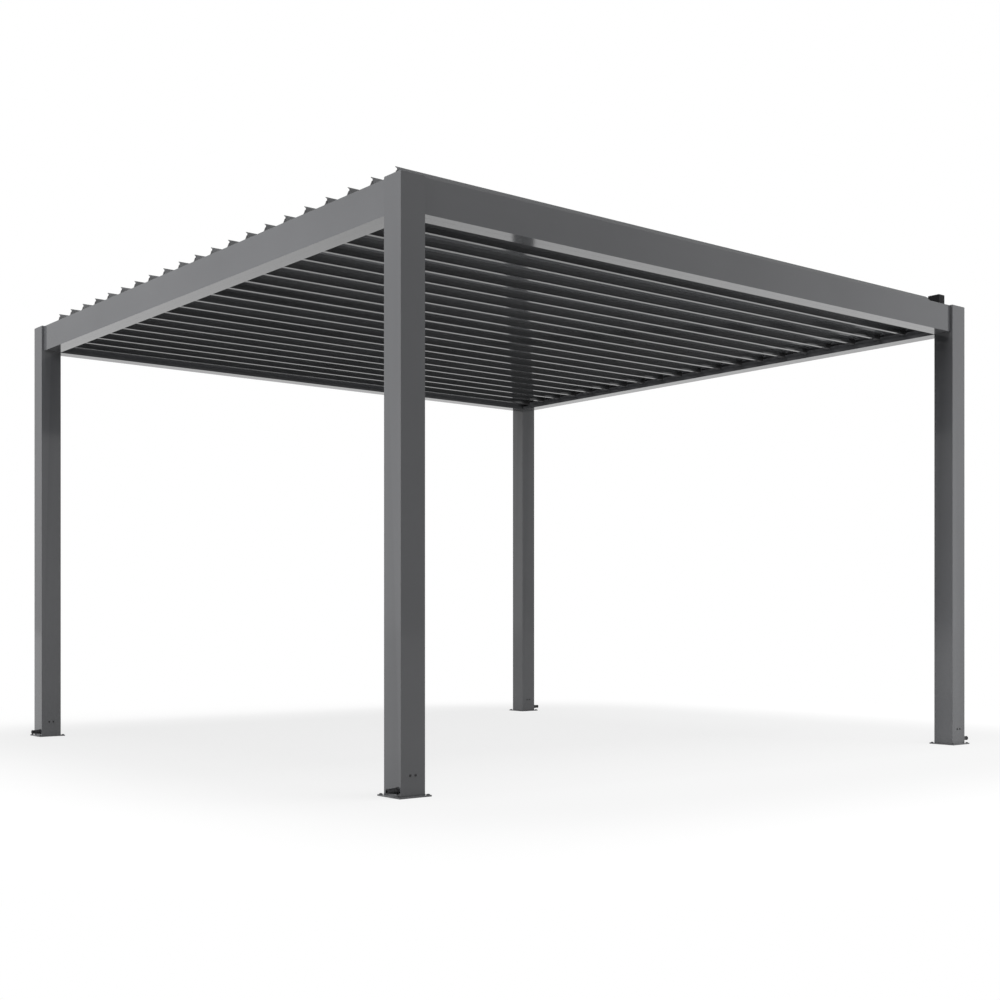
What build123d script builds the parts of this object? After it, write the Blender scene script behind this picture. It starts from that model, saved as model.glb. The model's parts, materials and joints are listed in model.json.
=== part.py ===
from build123d import *
from math import cos, sin, radians, hypot
import os

os.makedirs("parts", exist_ok=True)

# Sizes that drive everything, in millimetres. The origin is the middle of the
# ground plan. X runs along the front beam, Y from front to back and Z up.
PLAN = 3634.0            # outer face to outer face of the posts, both ways
POST = 110.0             # outer width of a post
POST_WALL = 2.5
TOP = 2312.0             # height of the post tops and beam tops
CAP_THICK = 3.0
SLIP = 0.2               # gap between a sleeve and the tube round it

PLATE_EDGE = 18.0        # a base plate stands out this far round its post
PLATE_THICK = 6.0
SLEEVE_TALL = 100.0      # inner sleeve that the post slides over
SLEEVE_WALL = 4.0
ANCHOR_EDGE = 9.5        # anchor hole centres from the plate's edges
ANCHOR_R = 4.5

RECESS = 14.0            # beams stand back from the posts' outer faces
BEAM_TALL = 138.0
BOX_WIDE = 42.0          # closed box on the outer side of a beam
BEAM_WALL = 2.5
GUTTER_SET = 3.0         # gutter's inner face behind the posts' inner faces
GUTTER_WALL = 2.5
GUTTER_TALL = 18.0       # both walls of the gutter
GUTTER_RIM = 7.0         # small turned-in rim at the top of the inner wall

BLADES = 21
REST_ANGLE = 75.0        # slope of the blades above level, tips to the back
ROOF_CLEAR = 5.7         # from a blade's lip to the gutter rims as it turns
EDGE_CLEAR = 10.0        # shut roof from the beam boxes, front and back
LEFT_CLEAR = 22.0        # blade ends from the left beam's box
RIGHT_CLEAR = 10.0       # blade ends inside the posts' inner faces, right
BLADE_CAP = 3.0
BLADE_WALL = 1.6
FLANGE_TRIM = 6.0        # the tip flange stops short of the drive-side cap

PIVOT_R = 4.0
DRIVE_R = 3.0
RUN_FIT = 0.05           # radial gap of a pin in its hole
PIN_GRIP = 6.0           # a pivot pin goes this far past the wall that holds it
SPACER_R = 7.0           # bush that keeps the tie bar off the blade ends
SPACER_LONG = 15.0

BAR_THICK = 5.0
BAR_TALL = 11.0
PIN_PROUD = 2.0          # drive pins past the outer face of the tie bar

HOUSING_CLEAR = 5.0      # from the drive pins to the drive housing
HOUSING_DEEP = 68.0      # front to back
HOUSING_SET = 2.0        # from the front right post
HOUSING_WALL = 3.0
HEAD_LAP = 8.0           # the head laps over the housing's lower part
HEAD_TALL = 85.0
HEAD_RADIUS = 4.0

SPOUT_Z = 27.5
SPOUT_IN = 20.0          # spout axis from the post's front edge
SPOUT_BODY_R = 11.5
SPOUT_BODY_LONG = 20.0
SPOUT_TUBE_R = 8.0
SPOUT_LONG = 49.0
SPOUT_WALL = 2.5
SPOUT_TAIL = 12.0

# Outline of a blade's cross section as it lies when the roof is shut, for a
# pitch of 166 mm. The first number runs back from the pivot, the second up.
# The low shelf at the front end is the rain channel that the flange of the
# next blade hangs into. Its front edge leans, so it is almost level at rest.
DRAWN_PITCH = 166.0
LIP = (-62.9, -21.5)
FLANGE_TIP = (118.7, 7.1)
OUTLINE = [
    LIP, (-66.8, -4.5), (-41.5, -4.5), (-41.5, 20.7), (103.0, 20.7),
    (108.3, 17.6), FLANGE_TIP, (116.9, 5.3), (105.5, 15.2), (100.7, 14.0),
    (94.1, 8.4), (89.0, 0.9), (87.4, -4.6), (86.2, -12.0), (84.0, -21.5),
]
# The end caps close the body of the blade but not its flange.
CAP_END = 97.0
CAP_OUTLINE = OUTLINE[:4] + [(CAP_END, 20.7), (CAP_END, 10.9)] + OUTLINE[10:]
# Webs inside the blade, each starting this far back from the pivot.
WEBS = [-41.5, 21.0]
SKIN_TOP = 20.7
DRIVE_ARM = (-43.0, -14.5)

# Worked out from those.
HALF = PLAN / 2
POST_AT = HALF - POST / 2
POST_FACE = HALF - POST              # inner faces of the posts
BEAM_OUT = HALF - RECESS
BEAM_IN = POST_FACE + GUTTER_SET
BOX_FACE = BEAM_OUT - BOX_WIDE       # inner face of a beam's closed box
BEAM_BOTTOM = TOP - BEAM_TALL
GUTTER_FLOOR = BEAM_BOTTOM + GUTTER_WALL
RIM_TOP = BEAM_BOTTOM + GUTTER_TALL
COS_REST = cos(radians(REST_ANGLE))
SIN_REST = sin(radians(REST_ANGLE))

ROOF_END = BOX_FACE - EDGE_CLEAR
PITCH = 2 * ROOF_END / (BLADES - 1 + (FLANGE_TIP[0] - LIP[0]) / DRAWN_PITCH)
SCALE = PITCH / DRAWN_PITCH
PIVOT_FIRST_Y = -ROOF_END - LIP[0] * SCALE
PIVOT_Z = RIM_TOP + ROOF_CLEAR + hypot(LIP[0], LIP[1]) * SCALE
BLADE_LEFT = -BOX_FACE + LEFT_CLEAR
BLADE_RIGHT = POST_FACE - RIGHT_CLEAR
BAR_X = BLADE_RIGHT + SPACER_LONG
PIN_END = BOX_FACE + BEAM_WALL + PIN_GRIP
HOUSING_X1 = BOX_FACE - GUTTER_WALL
HOUSING_X0 = BAR_X + BAR_THICK + PIN_PROUD + HOUSING_CLEAR
HOUSING_Y0 = -POST_FACE + HOUSING_SET
HOUSING_Y1 = HOUSING_Y0 + HOUSING_DEEP
HEAD_X0 = BOX_FACE - HEAD_LAP
HEAD_TOP_Z = TOP + HEAD_TALL


def across(back, up, pivot_y):
    """Place of a point of the shut blade's section once it is tilted to rest."""
    return (
        pivot_y + SCALE * (back * COS_REST - up * SIN_REST),
        PIVOT_Z + SCALE * (back * SIN_REST + up * COS_REST),
    )


def placed(points, pivot_y):
    return [across(back, up, pivot_y) for back, up in points]


def section(points, pivot_y, x0, x1):
    """A solid with this outline between two planes across the blade."""
    with BuildPart(mode=Mode.PRIVATE) as piece:
        with BuildSketch(Plane.YZ.offset(x0)):
            with BuildLine():
                Polyline(*placed(points, pivot_y), close=True)
            make_face()
        extrude(amount=x1 - x0)
    return piece.part


def hollows(pivot_y, x0, x1):
    """The chambers of a blade: its outline less the wall, cut up by the webs."""
    with BuildPart(mode=Mode.PRIVATE) as piece:
        with BuildSketch(Plane.YZ.offset(x0)):
            with BuildLine():
                Polyline(*placed(OUTLINE, pivot_y), close=True)
            make_face()
            offset(amount=-BLADE_WALL, kind=Kind.INTERSECTION)
            for web in WEBS:
                strip = [
                    (web, LIP[1]),
                    (web + BLADE_WALL, LIP[1]),
                    (web + BLADE_WALL, SKIN_TOP),
                    (web, SKIN_TOP),
                ]
                with BuildLine():
                    Polyline(*placed(strip, pivot_y), close=True)
                make_face(mode=Mode.SUBTRACT)
        extrude(amount=x1 - x0)
    return piece.part


def rod(y, z, radius, x0, x1):
    with BuildPart(mode=Mode.PRIVATE) as piece:
        with BuildSketch(Plane.YZ.offset(min(x0, x1))):
            with Locations((y, z)):
                Circle(radius)
        extrude(amount=abs(x1 - x0))
    return piece.part


def block(x0, x1, y0, y1, z0, z1):
    with BuildPart(mode=Mode.PRIVATE) as piece:
        with BuildSketch(Plane.XY.offset(z0)):
            with Locations(((x0 + x1) / 2, (y0 + y1) / 2)):
                Rectangle(x1 - x0, y1 - y0)
        extrude(amount=z1 - z0)
    return piece.part


# Posts, with their base plates and drain spouts.
CORNERS = [
    ("front_left", -1, -1),
    ("front_right", 1, -1),
    ("back_left", -1, 1),
    ("back_right", 1, 1),
]
TUBE_TOP = TOP - CAP_THICK
INNER = POST - 2 * POST_WALL
SLEEVE = INNER - 2 * SLIP
PLATE = POST + 2 * PLATE_EDGE
ANCHOR_AT = PLATE / 2 - ANCHOR_EDGE
# Inside the corner, a post's top is cut away over the gutters, so that rain
# runs into the post and the blades can pass.
MOUTH = BOX_FACE - POST_FACE

for corner, sx, sy in CORNERS:
    cx = sx * POST_AT
    cy = sy * POST_AT
    mouth_x = sx * (POST_FACE + MOUTH / 2)
    mouth_y = sy * (POST_FACE + MOUTH / 2)
    spout_y = cy - POST / 2 + SPOUT_IN
    face = sx * HALF

    with BuildPart() as post:
        with BuildSketch(Plane.XY.offset(PLATE_THICK)):
            with Locations((cx, cy)):
                Rectangle(POST, POST)
                Rectangle(INNER, INNER, mode=Mode.SUBTRACT)
        extrude(amount=TUBE_TOP - PLATE_THICK)
        with BuildSketch(Plane.XY.offset(TUBE_TOP)):
            with Locations((cx, cy)):
                Rectangle(POST, POST)
        extrude(amount=CAP_THICK)
        with BuildSketch(Plane.XY.offset(GUTTER_FLOOR)):
            with Locations((mouth_x, mouth_y)):
                Rectangle(MOUTH, MOUTH)
        extrude(amount=TOP - GUTTER_FLOOR, mode=Mode.SUBTRACT)
        add(rod(spout_y, SPOUT_Z, SPOUT_TUBE_R + RUN_FIT, cx, face), mode=Mode.SUBTRACT)
    post.part.label = "post_" + corner
    export_step(post.part, "parts/post_" + corner + ".step")

    with BuildPart() as base:
        with BuildSketch(Plane.XY):
            with Locations((cx, cy)):
                Rectangle(PLATE, PLATE)
                with GridLocations(2 * ANCHOR_AT, 2 * ANCHOR_AT, 2, 2):
                    Circle(ANCHOR_R, mode=Mode.SUBTRACT)
        extrude(amount=PLATE_THICK)
        with BuildSketch(Plane.XY.offset(PLATE_THICK)):
            with Locations((cx, cy)):
                Rectangle(SLEEVE, SLEEVE)
                Rectangle(SLEEVE - 2 * SLEEVE_WALL, SLEEVE - 2 * SLEEVE_WALL, mode=Mode.SUBTRACT)
        extrude(amount=SLEEVE_TALL)
        add(rod(spout_y, SPOUT_Z, SPOUT_TUBE_R + 2 * SLIP, cx, face), mode=Mode.SUBTRACT)
    base.part.label = "base_plate_" + corner
    export_step(base.part, "parts/base_plate_" + corner + ".step")

    # The spout sits low on the side face of the post. Its tail goes through
    # the post's wall and the sleeve.
    tail = face - sx * SPOUT_TAIL
    mouth = face + sx * SPOUT_LONG
    with BuildPart() as spout:
        add(rod(spout_y, SPOUT_Z, SPOUT_BODY_R, face, face + sx * SPOUT_BODY_LONG))
        add(rod(spout_y, SPOUT_Z, SPOUT_TUBE_R, tail, mouth))
        add(rod(spout_y, SPOUT_Z, SPOUT_TUBE_R - SPOUT_WALL, tail, mouth), mode=Mode.SUBTRACT)
    spout.part.label = "drain_spout_" + corner
    export_step(spout.part, "parts/drain_spout_" + corner + ".step")

# Beams are closed boxes between the posts. A gutter runs along the inner face
# of each, with its floor flush with the underside of the box.
BEAM_OUTER = [
    (BEAM_OUT, BEAM_BOTTOM),
    (BEAM_OUT, TOP),
    (BOX_FACE, TOP),
    (BOX_FACE, BEAM_BOTTOM),
]
BEAM_HOLLOW = [
    (BEAM_OUT - BEAM_WALL, BEAM_BOTTOM + BEAM_WALL),
    (BEAM_OUT - BEAM_WALL, TOP - BEAM_WALL),
    (BOX_FACE + BEAM_WALL, TOP - BEAM_WALL),
    (BOX_FACE + BEAM_WALL, BEAM_BOTTOM + BEAM_WALL),
]
GUTTER = [
    (BOX_FACE, BEAM_BOTTOM),
    (BOX_FACE, RIM_TOP),
    (BOX_FACE - GUTTER_WALL, RIM_TOP),
    (BOX_FACE - GUTTER_WALL, GUTTER_FLOOR),
    (BEAM_IN + GUTTER_WALL, GUTTER_FLOOR),
    (BEAM_IN + GUTTER_WALL, RIM_TOP - GUTTER_WALL),
    (BEAM_IN + GUTTER_RIM, RIM_TOP - GUTTER_WALL),
    (BEAM_IN + GUTTER_RIM, RIM_TOP),
    (BEAM_IN, RIM_TOP),
    (BEAM_IN, BEAM_BOTTOM),
]


def straight(outline):
    """A length of profile between two posts, drawn on the right side."""
    with BuildPart(mode=Mode.PRIVATE) as piece:
        with BuildSketch(Plane.XZ.offset(-POST_FACE)):
            with BuildLine():
                Polyline(*outline, close=True)
            make_face()
        extrude(amount=2 * POST_FACE)
    return piece.part


# Each profile is drawn as the right one and turned to its side. The side beams
# carry the blades' pivots in the inner wall of their box. On the right, the
# first blade is carried by the drive housing instead.
SIDES = [
    ("right", 0.0, range(1, BLADES)),
    ("back", 90.0, []),
    ("left", 180.0, range(BLADES)),
    ("front", 270.0, []),
]
for side, turn, carried in SIDES:
    facing = cos(radians(turn))
    with BuildPart() as beam:
        add(straight(BEAM_OUTER).rotate(Axis.Z, turn))
        add(straight(BEAM_HOLLOW).rotate(Axis.Z, turn), mode=Mode.SUBTRACT)
        for i in carried:
            hole = rod(
                PIVOT_FIRST_Y + i * PITCH, PIVOT_Z, PIVOT_R + RUN_FIT,
                facing * BOX_FACE, facing * (BOX_FACE + BEAM_WALL),
            )
            add(hole, mode=Mode.SUBTRACT)
    beam.part.label = "beam_" + side
    export_step(beam.part, "parts/beam_" + side + ".step")

    with BuildPart() as gutter:
        add(straight(GUTTER).rotate(Axis.Z, turn))
    gutter.part.label = "gutter_" + side
    export_step(gutter.part, "parts/gutter_" + side + ".step")

# Blades: hollow sections with end caps, pivot pins and a drive pin.
BODY_LEFT = BLADE_LEFT + BLADE_CAP
BODY_RIGHT = BLADE_RIGHT - BLADE_CAP
FLANGE_CUT = [(CAP_END, 30.0), (CAP_END, 11.1), (104.0, 0.0), (125.0, 0.0), (125.0, 30.0)]
for i in range(BLADES):
    y = PIVOT_FIRST_Y + i * PITCH
    drive_y, drive_z = across(DRIVE_ARM[0], DRIVE_ARM[1], y)
    if i == 0:
        pin_right = HOUSING_X0 + HOUSING_WALL + PIN_GRIP
    else:
        pin_right = PIN_END
    with BuildPart() as blade:
        add(section(OUTLINE, y, BODY_LEFT, BODY_RIGHT))
        add(hollows(y, BODY_LEFT, BODY_RIGHT), mode=Mode.SUBTRACT)
        add(section(FLANGE_CUT, y, BODY_RIGHT - FLANGE_TRIM, BODY_RIGHT), mode=Mode.SUBTRACT)
        add(section(CAP_OUTLINE, y, BLADE_LEFT, BODY_LEFT))
        add(section(CAP_OUTLINE, y, BODY_RIGHT, BLADE_RIGHT))
        add(rod(y, PIVOT_Z, PIVOT_R, -PIN_END, BLADE_LEFT))
        add(rod(y, PIVOT_Z, PIVOT_R, BLADE_RIGHT, pin_right))
        add(rod(drive_y, drive_z, SPACER_R, BLADE_RIGHT, BAR_X))
        add(rod(drive_y, drive_z, DRIVE_R, BAR_X, BAR_X + BAR_THICK + PIN_PROUD))
    name = "blade_" + str(i + 1).zfill(2)
    blade.part.label = name
    export_step(blade.part, "parts/" + name + ".step")

# Tie bar that turns all blades together.
BAR_FIRST_Y, BAR_Z = across(DRIVE_ARM[0], DRIVE_ARM[1], PIVOT_FIRST_Y)
BAR_LONG = (BLADES - 1) * PITCH
with BuildPart() as tie_bar:
    with BuildSketch(Plane.YZ.offset(BAR_X)):
        with Locations((BAR_FIRST_Y + BAR_LONG / 2, BAR_Z)):
            SlotCenterToCenter(BAR_LONG, BAR_TALL)
        for i in range(BLADES):
            with Locations((BAR_FIRST_Y + i * PITCH, BAR_Z)):
                Circle(DRIVE_R + RUN_FIT, mode=Mode.SUBTRACT)
    extrude(amount=BAR_THICK)
tie_bar.part.label = "tie_bar"
export_step(tie_bar.part, "parts/tie_bar.step")

# Drive housing: stands in the right gutter, its head above the beam.
with BuildPart() as housing:
    add(block(HOUSING_X0, HOUSING_X1, HOUSING_Y0, HOUSING_Y1, GUTTER_FLOOR, TOP))
    add(block(HEAD_X0, BEAM_OUT, HOUSING_Y0, HOUSING_Y1, TOP, HEAD_TOP_Z))
    fillet(housing.edges().group_by(Axis.Z)[-1], radius=HEAD_RADIUS)
    add(
        block(
            HOUSING_X0 + HOUSING_WALL, HOUSING_X1 - HOUSING_WALL,
            HOUSING_Y0 + HOUSING_WALL, HOUSING_Y1 - HOUSING_WALL,
            GUTTER_FLOOR + HOUSING_WALL, TOP - HOUSING_WALL,
        ),
        mode=Mode.SUBTRACT,
    )
    add(
        block(
            HEAD_X0 + HOUSING_WALL, BEAM_OUT - HOUSING_WALL,
            HOUSING_Y0 + HOUSING_WALL, HOUSING_Y1 - HOUSING_WALL,
            TOP + HOUSING_WALL, HEAD_TOP_Z - HOUSING_WALL,
        ),
        mode=Mode.SUBTRACT,
    )
    bore = rod(PIVOT_FIRST_Y, PIVOT_Z, PIVOT_R + RUN_FIT, HOUSING_X0, HOUSING_X0 + HOUSING_WALL)
    add(bore, mode=Mode.SUBTRACT)
housing.part.label = "drive_housing"
export_step(housing.part, "parts/drive_housing.step")
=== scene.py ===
import json
from math import cos, sin, pi, radians

import bmesh
import bpy
from mathutils import Matrix, Vector


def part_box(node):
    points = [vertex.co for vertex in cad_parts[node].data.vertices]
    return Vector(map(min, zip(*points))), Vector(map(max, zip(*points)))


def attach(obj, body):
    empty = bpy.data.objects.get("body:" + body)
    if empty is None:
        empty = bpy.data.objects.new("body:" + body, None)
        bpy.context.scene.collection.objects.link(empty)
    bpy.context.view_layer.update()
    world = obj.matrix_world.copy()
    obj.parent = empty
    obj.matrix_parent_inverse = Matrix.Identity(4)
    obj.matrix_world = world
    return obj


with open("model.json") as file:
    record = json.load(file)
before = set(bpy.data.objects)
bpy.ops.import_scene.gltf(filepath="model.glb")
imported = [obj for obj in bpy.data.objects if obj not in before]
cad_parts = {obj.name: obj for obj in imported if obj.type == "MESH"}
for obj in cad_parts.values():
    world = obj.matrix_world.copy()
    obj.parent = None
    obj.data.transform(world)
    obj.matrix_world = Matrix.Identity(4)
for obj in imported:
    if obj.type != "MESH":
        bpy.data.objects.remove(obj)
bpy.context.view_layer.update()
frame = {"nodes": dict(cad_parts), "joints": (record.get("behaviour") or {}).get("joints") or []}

# Places that the pieces below share, in metres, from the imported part
post_low, post_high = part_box("post_back_right")
POST_FACE = post_low[0]           # inner faces of the posts
HALF = post_high[0]               # outer faces of the posts
POST = HALF - POST_FACE
POST_MIDDLE = HALF - POST / 2
PLATE_TOP = post_low[2]           # the posts stand on their base plates
TOP = post_high[2]                # top of posts and beams
BOX_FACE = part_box("beam_right")[0][0]    # inner faces of the beams' boxes
LID_INNER = BOX_FACE + 0.002      # inner edges of the post lids, by the gutters
HEAD_LEFT = BOX_FACE - 0.008      # left side of the drive housing's head
BAR_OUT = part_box("tie_bar")[1][0]        # outer face of the tie bar
ANCHOR_AT = 0.0635                # anchor bolts from the middle of a post
FOOT_SCREW_AT = 0.012             # foot screws from the middle of a post
FOOT_SCREW_Z = 0.082
SPOUT_IN = 0.020                  # spout from the front edge of its post
SPOUT_Z = 0.0275

# The blades, front to back, and how they lie at rest
turns = [joint for joint in frame["joints"] if joint["child"].startswith("louvre_")]
BLADES = len(turns)
PIVOT_FIRST_Y, PIVOT_Z = turns[0]["pos_m"][1:]
PITCH = (turns[-1]["pos_m"][1] - PIVOT_FIRST_Y) / (BLADES - 1)
REST = radians(-turns[0]["range_deg"][0])    # above level, which is the shut roof
BLADE_LEFT = 0.022 - BOX_FACE
BLADE_RIGHT = POST_FACE - 0.010
COVER_THICK = 0.0012              # covers over the blades' ends
COVER_EDGE = 0.0008               # where a cover's chamfer begins
SHOE_LONG = 0.040                 # shoe at a blade's right end, where the drive pin is
DRIVE_PIN = (-43.0, -14.5)        # back and up from a blade's pivot, in mm of its section

CORNERS = {
    "front_left": (-1, -1),
    "front_right": (1, -1),
    "back_left": (-1, 1),
    "back_right": (1, 1),
}


# Materials

def new_material(name):
    mat = bpy.data.materials.new(name)
    mat.use_nodes = True
    return mat, mat.node_tree.nodes, mat.node_tree.links


def noise(nodes, links, coords, scale, detail=3.0, roughness=0.55):
    node = nodes.new("ShaderNodeTexNoise")
    node.inputs["Scale"].default_value = scale
    node.inputs["Detail"].default_value = detail
    node.inputs["Roughness"].default_value = roughness
    links.new(coords, node.inputs["Vector"])
    return node.outputs["Fac"]


def remap(nodes, links, value, low, high, from_low=0.3, from_high=0.7, smooth=False):
    node = nodes.new("ShaderNodeMapRange")
    if smooth:
        node.interpolation_type = "SMOOTHSTEP"
    node.inputs["From Min"].default_value = from_low
    node.inputs["From Max"].default_value = from_high
    node.inputs["To Min"].default_value = low
    node.inputs["To Max"].default_value = high
    links.new(value, node.inputs["Value"])
    return node.outputs["Result"]


def mix_colour(nodes, links, factor, first, second):
    node = nodes.new("ShaderNodeMix")
    node.data_type = "RGBA"
    links.new(factor, node.inputs["Factor"])
    for socket, value in ((node.inputs["A"], first), (node.inputs["B"], second)):
        if isinstance(value, tuple):
            socket.default_value = (*value, 1.0)
        else:
            links.new(value, socket)
    return node.outputs["Result"]


def scaled(colour, by):
    return tuple(by * c for c in colour)


def calc(nodes, links, operation, *values):
    """A maths node's result. Each value is a number or another node's output."""
    node = nodes.new("ShaderNodeMath")
    node.operation = operation
    for socket, value in zip(node.inputs, values):
        if isinstance(value, float):
            socket.default_value = value
        else:
            links.new(value, socket)
    return node.outputs[0]


def mix_shaders(nodes, links, factor, first, second):
    node = nodes.new("ShaderNodeMixShader")
    links.new(factor, node.inputs["Fac"])
    links.new(first, node.inputs[1])
    links.new(second, node.inputs[2])
    return node.outputs[0]


def add_bump(nodes, links, shader, height, strength, distance):
    bump = nodes.new("ShaderNodeBump")
    bump.inputs["Strength"].default_value = strength
    bump.inputs["Distance"].default_value = distance
    links.new(height, bump.inputs["Height"])
    links.new(bump.outputs["Normal"], shader.inputs["Normal"])


def powder_coat(name, colour, rough, grain=1100.0):
    """Fine-textured paint: slight clouding, orange peel and paler, worn edges."""
    mat, nodes, links = new_material(name)
    shader = nodes["Principled BSDF"]
    coords = nodes.new("ShaderNodeTexCoord").outputs["Object"]
    clouds = noise(nodes, links, coords, 1.7, 4.0)
    dust = noise(nodes, links, coords, 9.0, 5.0, 0.65)
    peel = noise(nodes, links, coords, grain, 2.0)
    base = mix_colour(
        nodes, links, remap(nodes, links, clouds, 0.0, 1.0),
        scaled(colour, 0.93), scaled(colour, 1.07),
    )
    speck = mix_colour(
        nodes, links, remap(nodes, links, peel, 0.0, 0.16, 0.5, 0.8), base, scaled(colour, 1.9),
    )
    edge = nodes.new("ShaderNodeNewGeometry").outputs["Pointiness"]
    worn = mix_colour(
        nodes, links, remap(nodes, links, edge, 0.0, 0.35, 0.53, 0.62), speck,
        scaled(colour, 2.2),
    )
    links.new(worn, shader.inputs["Base Color"])
    links.new(remap(nodes, links, dust, rough * 0.82, rough * 1.22), shader.inputs["Roughness"])
    shader.inputs["IOR"].default_value = 1.5
    add_bump(nodes, links, shader, peel, 0.18, 0.00002)
    return mat


def plastic(name, colour, rough=0.42, gloss=0.3):
    """Moulded black plastic with a fine spark-eroded grain."""
    mat, nodes, links = new_material(name)
    shader = nodes["Principled BSDF"]
    shader.inputs["Specular IOR Level"].default_value = gloss
    coords = nodes.new("ShaderNodeTexCoord").outputs["Object"]
    grain = noise(nodes, links, coords, 2600.0, 2.0)
    haze = noise(nodes, links, coords, 60.0, 3.0)
    base = mix_colour(
        nodes, links, remap(nodes, links, haze, 0.0, 1.0),
        scaled(colour, 0.85), scaled(colour, 1.2),
    )
    links.new(base, shader.inputs["Base Color"])
    links.new(remap(nodes, links, grain, rough * 0.85, rough * 1.2), shader.inputs["Roughness"])
    add_bump(nodes, links, shader, grain, 0.25, 0.00003)
    return mat


def steel(name, colour, rough=0.3):
    """Steel with fine machining marks and a dull film."""
    mat, nodes, links = new_material(name)
    shader = nodes["Principled BSDF"]
    shader.inputs["Metallic"].default_value = 1.0
    coords = nodes.new("ShaderNodeTexCoord").outputs["Object"]
    film = noise(nodes, links, coords, 240.0, 4.0)
    fine = noise(nodes, links, coords, 3200.0, 2.0)
    base = mix_colour(
        nodes, links, remap(nodes, links, film, 0.0, 1.0),
        scaled(colour, 0.8), scaled(colour, 1.1),
    )
    links.new(base, shader.inputs["Base Color"])
    links.new(remap(nodes, links, fine, rough * 0.75, rough * 1.4), shader.inputs["Roughness"])
    add_bump(nodes, links, shader, fine, 0.2, 0.00002)
    return mat


COAT = powder_coat("frame_powder_coat", (0.053, 0.054, 0.057), 0.08)
BLADE_COAT = powder_coat("blade_powder_coat", (0.046, 0.047, 0.049), 0.10)
BLACK_COAT = powder_coat("black_powder_coat", (0.012, 0.012, 0.013), 0.3, 1500.0)
BLACK_PLASTIC = plastic("moulded_black_plastic", (0.010, 0.010, 0.011))
HOUSING_PLASTIC = plastic("housing_black_plastic", (0.005, 0.005, 0.0055), 0.5, 0.12)
# Near-black and dull: painted shade inside the spouts' bores.
BORE_PAINTED_SHADE = plastic("bore_painted_shade_black", (0.002, 0.002, 0.002), 0.6, 0.05)
CAP_PLASTIC = plastic("end_cap_plastic", (0.020, 0.020, 0.021), 0.5)
DARK_STEEL = steel("dark_steel", (0.09, 0.09, 0.094), 0.34)
BRIGHT_STEEL = steel("bright_steel", (0.42, 0.42, 0.43), 0.26)


# CAD pieces: materials and slightly rounded edges

def dress(node, mat, radius, plain=True):
    """Plain pieces have flat sides. Those are made whole and stay flat beside the rounding."""
    obj = frame["nodes"][node]
    obj.data.materials.clear()
    obj.data.materials.append(mat)
    weld = obj.modifiers.new("weld", "WELD")
    weld.merge_threshold = 0.00001
    if plain:
        whole = obj.modifiers.new("whole_faces", "DECIMATE")
        whole.decimate_type = "DISSOLVE"
        whole.angle_limit = radians(0.2)
    bevel = obj.modifiers.new("edge_radius", "BEVEL")
    bevel.width = radius
    bevel.segments = 2
    bevel.limit_method = "ANGLE"
    bevel.angle_limit = radians(35)
    bevel.harden_normals = not plain
    if plain:
        flat = obj.modifiers.new("flat_sides", "WEIGHTED_NORMAL")
        flat.mode = "FACE_AREA"
        flat.weight = 95


for name in frame["nodes"]:
    if name.startswith("post_"):
        dress(name, COAT, 0.0012)
    elif name.startswith("base_plate_"):
        dress(name, COAT, 0.0008)
    elif name.startswith(("beam_", "gutter_")):
        dress(name, COAT, 0.0004)
    elif name.startswith("blade_"):
        dress(name, BLADE_COAT, 0.0003, plain=False)
    elif name.startswith("drain_spout_"):
        dress(name, BLACK_PLASTIC, 0.0005, plain=False)
    elif name == "tie_bar":
        dress(name, BLACK_COAT, 0.0004)
    else:
        dress(name, HOUSING_PLASTIC, 0.0010)


# Mesh pieces

def finish_piece(name, bm, mats, body, smooth_angle=35):
    """Turns bm into an object that rides on a CAD body. mats is in the order of the faces'
    material numbers."""
    mesh = bpy.data.meshes.new(name)
    bmesh.ops.recalc_face_normals(bm, faces=bm.faces)
    bm.to_mesh(mesh)
    bm.free()
    for mat in mats:
        mesh.materials.append(mat)
    for poly in mesh.polygons:
        poly.use_smooth = True
    mesh.set_sharp_from_angle(angle=radians(smooth_angle))
    obj = bpy.data.objects.new(name, mesh)
    bpy.context.scene.collection.objects.link(obj)
    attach(obj, body)


def skin(bm, rings, material=0):
    """Joins each ring of points to the next."""
    for lower, upper in zip(rings, rings[1:]):
        for k in range(len(lower)):
            face = bm.faces.new((lower[k], lower[k - 1], upper[k - 1], upper[k]))
            face.material_index = material


def close_ends(bm, rings):
    bm.faces.new(rings[0])
    bm.faces.new(rings[-1])


def round_ring(bm, place, radius, height, steps):
    return [
        bm.verts.new(place @ Vector((
            radius * cos(2 * pi * k / steps), radius * sin(2 * pi * k / steps), height,
        )))
        for k in range(steps)
    ]


def lathe(bm, profile, place, steps=24, material=0):
    """Turns (radius, height) points round the local Z axis. A profile that ends
    where it begins gives a closed ring."""
    closed = profile[0] == profile[-1]
    rings = [
        round_ring(bm, place, radius, height, steps)
        for radius, height in (profile[:-1] if closed else profile)
    ]
    if closed:
        rings.append(rings[0])
    skin(bm, rings, material)
    return rings


def facing(direction, at):
    """A placement whose local Z points along direction."""
    turn = Vector(direction).to_track_quat("Z", "Y").to_matrix().to_4x4()
    return Matrix.Translation(at) @ turn


def button_screw(bm, place, radius, tall):
    """Low domed head with a round socket."""
    steps = 24
    socket = 0.0023
    dome = [
        (radius, 0.0), (radius, tall * 0.35), (radius * 0.93, tall * 0.62),
        (radius * 0.76, tall * 0.86), (radius * 0.58, tall),
    ]
    rings = lathe(bm, dome, place, steps)
    bm.faces.new(rings[0])
    rim = round_ring(bm, place, socket, tall, steps)
    bottom = round_ring(bm, place, socket, tall * 0.3, steps)
    skin(bm, [rings[-1], rim, bottom])
    bm.faces.new(bottom)


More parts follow.
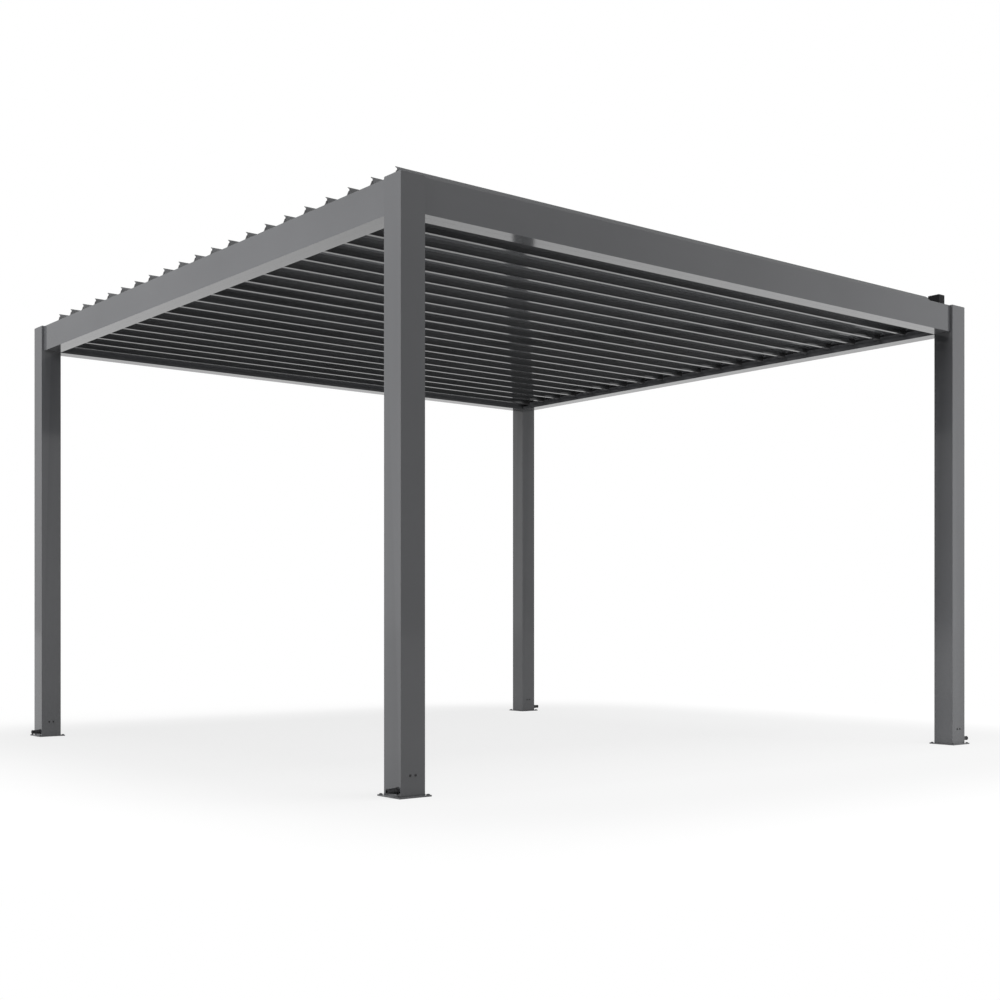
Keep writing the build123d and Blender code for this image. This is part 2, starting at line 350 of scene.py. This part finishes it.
def anchor_bolt(bm, place):
    """A button screw's head on a round washer."""
    washer = [(0.0078, 0.0), (0.0078, 0.0010), (0.0072, 0.0013), (0.0048, 0.0013)]
    close_ends(bm, lathe(bm, washer, place))
    button_screw(bm, place @ Matrix.Translation((0, 0, 0.0012)), 0.0058, 0.0026)


# Feet: screws through the post into its sleeve, and anchor bolts

for corner, (sx, sy) in CORNERS.items():
    cx = sx * POST_MIDDLE
    cy = sy * POST_MIDDLE
    bm = bmesh.new()
    for face in (-1, 1):
        for dx in (-FOOT_SCREW_AT, FOOT_SCREW_AT):
            at = (cx + dx, cy + face * POST / 2, FOOT_SCREW_Z)
            button_screw(bm, facing((0, face, 0), at), 0.0050, 0.0022)
    finish_piece("foot_screws_" + corner, bm, [CAP_PLASTIC], "frame")

    bm = bmesh.new()
    for ax in (-1, 1):
        for ay in (-1, 1):
            at = (cx + ax * ANCHOR_AT, cy + ay * ANCHOR_AT, PLATE_TOP)
            anchor_bolt(bm, facing((0, 0, 1), at))
    finish_piece("anchor_bolts_" + corner, bm, [DARK_STEEL], "frame")


# Spouts: a sleeve with a beaded mouth over each tube, a flange at the post and a dark bore,
# whose near-black lining and end plug are painted shade

for corner, (sx, sy) in CORNERS.items():
    at = (sx * HALF, sy * POST_MIDDLE - POST / 2 + SPOUT_IN, SPOUT_Z)
    place = facing((sx, 0, 0), at)
    bm = bmesh.new()
    sleeve = [
        (0.0081, 0.0202), (0.0105, 0.0202), (0.0111, 0.0210), (0.0111, 0.0256), (0.0105, 0.0264),
        (0.0100, 0.0270), (0.0100, 0.0438), (0.0108, 0.0452), (0.0112, 0.0466), (0.0110, 0.0480),
        (0.0102, 0.0486), (0.0092, 0.0488), (0.0081, 0.0484), (0.0081, 0.0202),
    ]
    lathe(bm, sleeve, place, steps=40)
    flange = [
        (0.0116, 0.0002), (0.0140, 0.0002), (0.0142, 0.0008), (0.0142, 0.0028), (0.0136, 0.0036),
        (0.0122, 0.0040), (0.0116, 0.0044), (0.0116, 0.0002),
    ]
    lathe(bm, flange, place, steps=40)
    # Near-black lining and a plug deep inside: painted shade, so that the hole looks dark.
    bore = [
        (0.0054, 0.0480), (0.0054, -0.0114), (0.0001, -0.0114), (0.0001, -0.0110),
        (0.0051, -0.0110), (0.0051, 0.0480), (0.0054, 0.0480),
    ]
    lathe(bm, bore, place, steps=40, material=1)
    mats = [BLACK_PLASTIC, BORE_PAINTED_SHADE]
    finish_piece("spout_sleeve_" + corner, bm, mats, "frame")


# Post caps: a thin lid with a chamfered rim, clear of the cut-away gutter corner

for corner, (sx, sy) in CORNERS.items():
    cx = sx * POST_MIDDLE
    cy = sy * POST_MIDDLE
    bm = bmesh.new()
    outer = POST / 2 - 0.0008
    inner = POST_MIDDLE - LID_INNER
    levels = []
    for inset, above in ((0.0, 0.0), (0.0, 0.0012), (0.0016, 0.0026), (0.0060, 0.0030)):
        out = outer - inset
        cut = inner - inset
        corners = [(out, out), (-out, out), (-out, cut), (cut, cut), (cut, -out), (out, -out)]
        levels.append([
            bm.verts.new((cx + sx * a, cy + sy * b, TOP + above)) for a, b in corners
        ])
    skin(bm, levels)
    close_ends(bm, levels)
    finish_piece("post_lid_" + corner, bm, [COAT], "frame", 20)


# Blade fittings

BACK = Vector((0.0, cos(REST), sin(REST)))
UP = Vector((0.0, -sin(REST), cos(REST)))
ACROSS = Vector((1.0, 0.0, 0.0))
MM = 0.001 * PITCH / 0.166


def on_blade(i, back, up, x):
    """A point of a blade's section, given as the shut blade is drawn in mm."""
    centre = Vector((x, PIVOT_FIRST_Y + i * PITCH, PIVOT_Z))
    return centre + BACK * back * MM + UP * up * MM


def shrunk(points, by):
    """The same closed outline, moved inwards by this many mm."""
    count = len(points)
    turning = sum(
        points[k][0] * points[(k + 1) % count][1] - points[(k + 1) % count][0] * points[k][1]
        for k in range(count)
    )
    side = 1 if turning > 0 else -1
    moved = []
    for k in range(count):
        here = Vector(points[k])
        into = (here - Vector(points[k - 1])).normalized()
        away = (Vector(points[(k + 1) % count]) - here).normalized()
        n1 = Vector((-into.y, into.x)) * side
        n2 = Vector((-away.y, away.x)) * side
        both = (n1 + n2).normalized()
        moved.append(here + both * (by / max(0.35, both.dot(n1))))
    return [tuple(p) for p in moved]


def prism(bm, i, outline, stations):
    """Joins the outline at each (x, inset in mm) along the blade, closed at its ends."""
    rings = []
    for x, inset in stations:
        points = shrunk(outline, inset) if inset else outline
        rings.append([bm.verts.new(on_blade(i, b, u, x)) for b, u in points])
    skin(bm, rings)
    close_ends(bm, rings)


# Outlines round the blade's section, back and up from its pivot in mm
COVER = [
    (-62.5, -21.1), (-66.2, -5.0), (-41.2, -5.0), (-41.2, 20.3), (96.6, 20.3), (96.6, 10.2),
    (93.9, 8.0), (88.8, 0.7), (87.2, -4.7), (86.0, -12.0), (83.8, -21.1),
]
SHOE = [(-64.2, -22.6), (-68.3, -3.4), (-40.9, -3.4), (-40.9, -22.6)]
SCREW_PORTS = [(-20.0, 14.0), (74.0, 12.0), (48.0, -14.0)]

for i in range(BLADES):
    number = str(i + 1).zfill(2)
    body = "louvre_" + number
    bm = bmesh.new()
    for side, end in ((-1, BLADE_LEFT), (1, BLADE_RIGHT)):
        prism(bm, i, COVER, [
            (end - side * 0.0002, 0.0), (end + side * COVER_EDGE, 0.2),
            (end + side * COVER_THICK, 1.0),
        ])
    prism(bm, i, SHOE, [
        (BLADE_RIGHT - SHOE_LONG, 1.0), (BLADE_RIGHT - SHOE_LONG + 0.0008, 0.0),
        (BLADE_RIGHT + 0.0004, 0.0), (BLADE_RIGHT + 0.0014, 1.0),
    ])
    boss = [
        (0.0072, 0.0), (0.0136, 0.0), (0.0136, 0.0080), (0.0128, 0.0092), (0.0110, 0.0098),
        (0.0088, 0.0100), (0.0072, 0.0094), (0.0072, 0.0),
    ]
    at = on_blade(i, *DRIVE_PIN, BLADE_RIGHT + COVER_THICK)
    lathe(bm, boss, facing(ACROSS, at), steps=36)
    collar = [
        (0.0042, 0.0), (0.0098, 0.0), (0.0098, 0.0022), (0.0088, 0.0034), (0.0064, 0.0046),
        (0.0050, 0.0048), (0.0042, 0.0044), (0.0042, 0.0),
    ]
    for side, end in ((1, BLADE_RIGHT), (-1, BLADE_LEFT)):
        at = on_blade(i, 0.0, 0.0, end + side * 0.0011)
        lathe(bm, collar, facing(ACROSS * side, at), steps=28)
    finish_piece("end_caps_" + number, bm, [CAP_PLASTIC], body, 25)

    bm = bmesh.new()
    for back, up in SCREW_PORTS:
        for side, end in ((-1, BLADE_LEFT), (1, BLADE_RIGHT)):
            at = on_blade(i, back, up, end + side * COVER_THICK)
            button_screw(bm, facing(ACROSS * side, at), 0.0038, 0.0019)
    finish_piece("cap_screws_" + number, bm, [BRIGHT_STEEL], body)


# Pivot bushes in the beams' inner faces, and washers on the drive pins

for side, name in ((-1, "left"), (1, "right")):
    bm = bmesh.new()
    bush = [
        (0.0044, 0.0), (0.0100, 0.0), (0.0100, 0.0016), (0.0092, 0.0024), (0.0070, 0.0028),
        (0.0066, 0.0044), (0.0044, 0.0044), (0.0044, 0.0),
    ]
    for i in range(BLADES):
        if side > 0 and i == 0:
            continue    # the drive housing carries this pivot
        at = on_blade(i, 0.0, 0.0, side * BOX_FACE)
        lathe(bm, bush, facing(ACROSS * -side, at), steps=28)
    finish_piece("pivot_bushes_" + name, bm, [BLACK_PLASTIC], "frame")

bm = bmesh.new()
washer = [
    (0.0032, 0.0), (0.0054, 0.0), (0.0054, 0.0008), (0.0050, 0.0011), (0.0036, 0.0011),
    (0.0032, 0.0008), (0.0032, 0.0),
]
for i in range(BLADES):
    lathe(bm, washer, facing(ACROSS, on_blade(i, *DRIVE_PIN, BAR_OUT)))
finish_piece("drive_pin_washers", bm, [BRIGHT_STEEL], "tie_bar_body")


# Drive housing: a lid with a chamfered rim and four screws

low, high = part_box("drive_housing")
bm = bmesh.new()
levels = []
for inset, below in ((0.0034, 0.0056), (0.0034, 0.0014), (0.0044, 0.0004), (0.0060, 0.0002)):
    x0, x1 = HEAD_LEFT + inset, high[0] - inset
    y0, y1 = low[1] + inset, high[1] - inset
    levels.append([
        bm.verts.new((x, y, high[2] - below))
        for x, y in ((x0, y0), (x1, y0), (x1, y1), (x0, y1))
    ])
skin(bm, levels)
close_ends(bm, levels)
screw_in = 0.0095
for x in (HEAD_LEFT + screw_in, high[0] - screw_in):
    for y in (low[1] + screw_in, high[1] - screw_in):
        button_screw(bm, facing((0, 0, 1), (x, y, high[2] - 0.0012)), 0.0028, 0.0011)
finish_piece("housing_lid", bm, [HOUSING_PLASTIC], "frame", 20)


# Camera

camera_data = bpy.data.cameras.new("camera")
camera_data.lens = 50.593
camera_data.sensor_width = 36.0
camera_data.sensor_fit = "HORIZONTAL"
camera_data.shift_y = 0.11979
camera_data.clip_end = 200.0
camera = bpy.data.objects.new("camera", camera_data)
camera.location = (-4.7799, -6.0657, 0.6580)
camera.rotation_euler = (radians(90), 0.0, radians(-38.927))
bpy.context.scene.collection.objects.link(camera)
bpy.context.scene.camera = camera


# Floor, surroundings and lamps

def seen_directly(nodes, links):
    """1 for camera, mirror and glass rays, 0 for soft bounced light."""
    path = nodes.new("ShaderNodeLightPath")
    seen = calc(
        nodes, links, "MAXIMUM", path.outputs["Is Camera Ray"], path.outputs["Is Glossy Ray"],
    )
    return calc(nodes, links, "MAXIMUM", seen, path.outputs["Is Transmission Ray"])


def pale_floor():
    """Seen directly, a floor with painted shade, a little less bright under the roof, which
    turns into the white background farther out. Soft bounced light meets a plain pale floor."""
    mat, nodes, links = new_material("pale_floor")
    nodes.remove(nodes["Principled BSDF"])
    # The painted shade has its middle a little to the right and the front.
    from_middle = nodes.new("ShaderNodeVectorMath")
    from_middle.operation = "SUBTRACT"
    from_middle.inputs[1].default_value = (0.20, -0.28, 0.0)
    links.new(nodes.new("ShaderNodeTexCoord").outputs["Object"], from_middle.inputs[0])
    apart = nodes.new("ShaderNodeSeparateXYZ")
    links.new(from_middle.outputs[0], apart.inputs[0])
    # It is square with round corners: beyond is the greater of the distances along X and Y.
    beyond = calc(
        nodes, links, "SMOOTH_MAX",
        calc(nodes, links, "ABSOLUTE", apart.outputs["X"]),
        calc(nodes, links, "ABSOLUTE", apart.outputs["Y"]), 1.2,
    )
    # The glow's strength is painted shade: lower within the square, not cast by any lamp.
    glow = nodes.new("ShaderNodeEmission")
    painted_shade = remap(nodes, links, beyond, 0.785, 0.90, 2.1, 3.45, smooth=True)
    links.new(painted_shade, glow.inputs["Strength"])
    faint = nodes.new("ShaderNodeBsdfDiffuse")
    faint.inputs["Color"].default_value = (0.12, 0.12, 0.12, 1.0)
    near = nodes.new("ShaderNodeAddShader")
    links.new(faint.outputs[0], near.inputs[0])
    links.new(glow.outputs[0], near.inputs[1])
    far = nodes.new("ShaderNodeEmission")
    reach = nodes.new("ShaderNodeVectorMath")
    reach.operation = "LENGTH"
    links.new(from_middle.outputs[0], reach.inputs[0])
    fade = remap(nodes, links, reach.outputs["Value"], 0.0, 1.0, 2.8, 4.6, smooth=True)
    seen = mix_shaders(nodes, links, fade, near.outputs[0], far.outputs[0])
    plain = nodes.new("ShaderNodeBsdfDiffuse")
    plain.inputs["Color"].default_value = (0.7, 0.7, 0.7, 1.0)
    both = mix_shaders(nodes, links, seen_directly(nodes, links), plain.outputs[0], seen)
    links.new(both, nodes["Material Output"].inputs["Surface"])
    return mat


mesh = bpy.data.meshes.new("floor")
bm = bmesh.new()
bmesh.ops.create_grid(bm, x_segments=1, y_segments=1, size=60.0)
bm.to_mesh(mesh)
bm.free()
floor = bpy.data.objects.new("floor", mesh)
bpy.context.scene.collection.objects.link(floor)
mesh.materials.append(pale_floor())

world = bpy.data.worlds.new("surroundings")
bpy.context.scene.world = world
world.use_nodes = True
nodes, links = world.node_tree.nodes, world.node_tree.links
nodes.clear()
direction = nodes.new("ShaderNodeTexCoord").outputs["Generated"]


def panel(azimuth, elevation, from_dot, to_dot, amount):
    """A brighter or darker part of the studio walls round this direction."""
    dot = nodes.new("ShaderNodeVectorMath")
    dot.operation = "DOT_PRODUCT"
    level = cos(radians(elevation))
    dot.inputs[1].default_value = (
        level * cos(radians(azimuth)), level * sin(radians(azimuth)), sin(radians(elevation)),
    )
    links.new(direction, dot.inputs[0])
    return remap(nodes, links, dot.outputs["Value"], 0.0, amount, from_dot, to_dot, smooth=True)


def white_background(strength=1.0):
    node = nodes.new("ShaderNodeBackground")
    node.inputs["Color"].default_value = (1.0, 1.0, 1.0, 1.0)
    node.inputs["Strength"].default_value = strength
    return node


# Mirrors see a studio of brightness 1 plus all these parts, the camera sees plain white,
# and soft bounced light is weaker.
walls = 1.0
for part in (
    panel(-15, 0, 0.80, 0.96, 0.10),
    panel(-60, 0, 0.90, 0.985, -0.20),
    panel(-74, -2, 0.985, 0.997, 0.22),
    panel(105, 0, 0.90, 0.99, -0.28),
    panel(130, 0, 0.97, 0.999, 0.30),
    panel(156, 0, 0.93, 0.985, -0.55),
    panel(45, 45, 0.70, 0.95, -0.80),
):
    walls = calc(nodes, links, "ADD", walls, part)
soft = white_background(0.38)
studio = white_background()
links.new(walls, studio.inputs["Strength"])
white = white_background()
around = mix_shaders(
    nodes, links, seen_directly(nodes, links), soft.outputs[0], studio.outputs[0],
)
camera_ray = nodes.new("ShaderNodeLightPath").outputs["Is Camera Ray"]
seen = mix_shaders(nodes, links, camera_ray, around, white.outputs[0])
output = nodes.new("ShaderNodeOutputWorld")
links.new(seen, output.inputs["Surface"])


def softbox(name, at, target, width, height, power):
    data = bpy.data.lights.new(name, "AREA")
    data.shape = "RECTANGLE"
    data.size = width
    data.size_y = height
    data.energy = power
    lamp = bpy.data.objects.new(name, data)
    lamp.location = at
    aim = Vector(target) - Vector(at)
    lamp.rotation_euler = aim.to_track_quat("-Z", "Y").to_euler()
    bpy.context.scene.collection.objects.link(lamp)
    return lamp


top = softbox("top_softbox", (0.0, -3.6, 11.0), (0.0, 0.0, 2.0), 8.0, 6.0, 1250)
left = softbox("left_softbox", (-7.0, 0.3, 4.3), (0.0, 0.0, 1.2), 7.0, 4.0, 780)
right = softbox("right_softbox", (3.0, -3.7, 1.5), (1.6, -1.8, 1.2), 1.6, 3.0, 80)

# The two side lamps are kept off the floor, so that the roof's is the only shadow cast on it;
# the glow adds painted shade under the roof.
unlit = bpy.data.collections.new("flagged_floor")
unlit.objects.link(floor)
unlit.collection_objects[0].light_linking.link_state = "EXCLUDE"
for lamp in (left, right):
    lamp.light_linking.receiver_collection = unlit
for lamp in (top, left, right):
    lamp.visible_glossy = False
    lamp.visible_camera = False

bpy.context.scene.view_settings.view_transform = "Standard"
